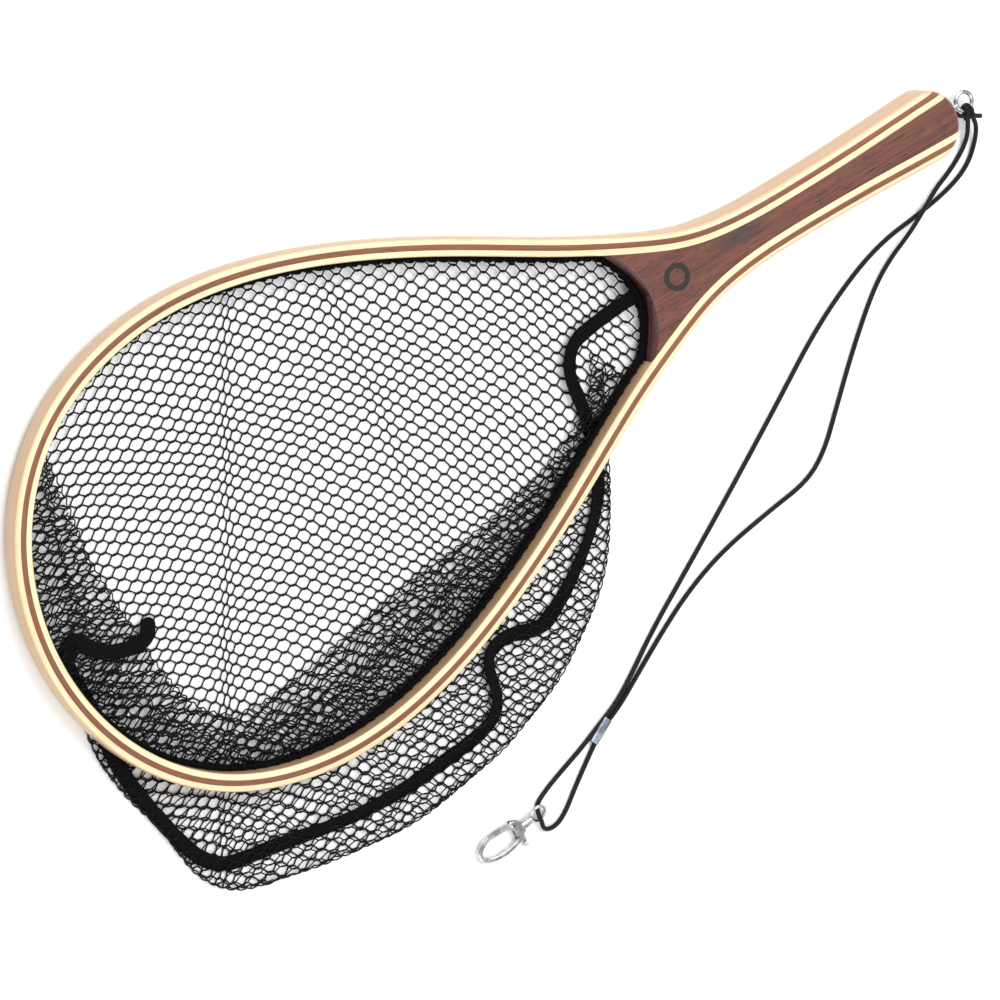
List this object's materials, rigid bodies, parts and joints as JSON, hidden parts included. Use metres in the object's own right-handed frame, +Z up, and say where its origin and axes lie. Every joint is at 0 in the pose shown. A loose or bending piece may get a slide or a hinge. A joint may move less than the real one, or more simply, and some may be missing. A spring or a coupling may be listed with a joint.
{
  "type": "landing net",
  "caption": "Wooden trout landing net with a laminated hoop, black mesh bag and an elastic lanyard with a snap hook.",
  "frame": {"origin": "middle of the handle's flat underside, where the net rests on a surface", "axes": "+X along the net from the handle to the far end of the hoop, +Z up, +Y to the side the bag falls to"},
  "size_m": [0.6252, 0.3738, 0.0201],
  "materials": {
    "rosewood_core": "satin",
    "pale_wood": "satin",
    "brown_wood": "satin",
    "black_mesh": "matte",
    "black_webbing": "matte",
    "black_cord": "matte",
    "plated_steel": "polished",
    "soft_aluminium": "satin"
  },
  "bodies": {
    "root": {"handle_core": "rosewood_core", "inner_lamination": "pale_wood", "middle_lamination": "brown_wood", "outer_lamination": "pale_wood", "hem_binding": "black_webbing", "right_mesh_panel": "black_mesh", "left_mesh_panel": "black_mesh", "keel_tape": "black_webbing", "screw_eye": "plated_steel", "lanyard_knot": "black_cord", "lanyard_cord": "black_cord", "crimp_ferrule": "soft_aluminium", "swivel_ring": "plated_steel"},
    "hook": {"hook_body": "plated_steel", "gate_pin": "plated_steel", "gate_spring": "plated_steel"},
    "gate": {"hook_gate": "plated_steel"}
  },
  "joints": [
    {"name": "hook_swivel", "type": "hinge", "parent": "root", "child": "hook", "pos_m": [0.29598, 0.22495, 0.0026], "axis": [0.9969, 0.0785, 0], "continuous": true},
    {"name": "gate_hinge", "type": "hinge", "parent": "hook", "child": "gate", "pos_m": [0.30336, 0.22553, 0.0026], "axis": [0, 0, 1], "range_deg": [0, 24], "stiffness_Nm_per_rad": 0.02, "springref_deg": -5.73}
  ]
}
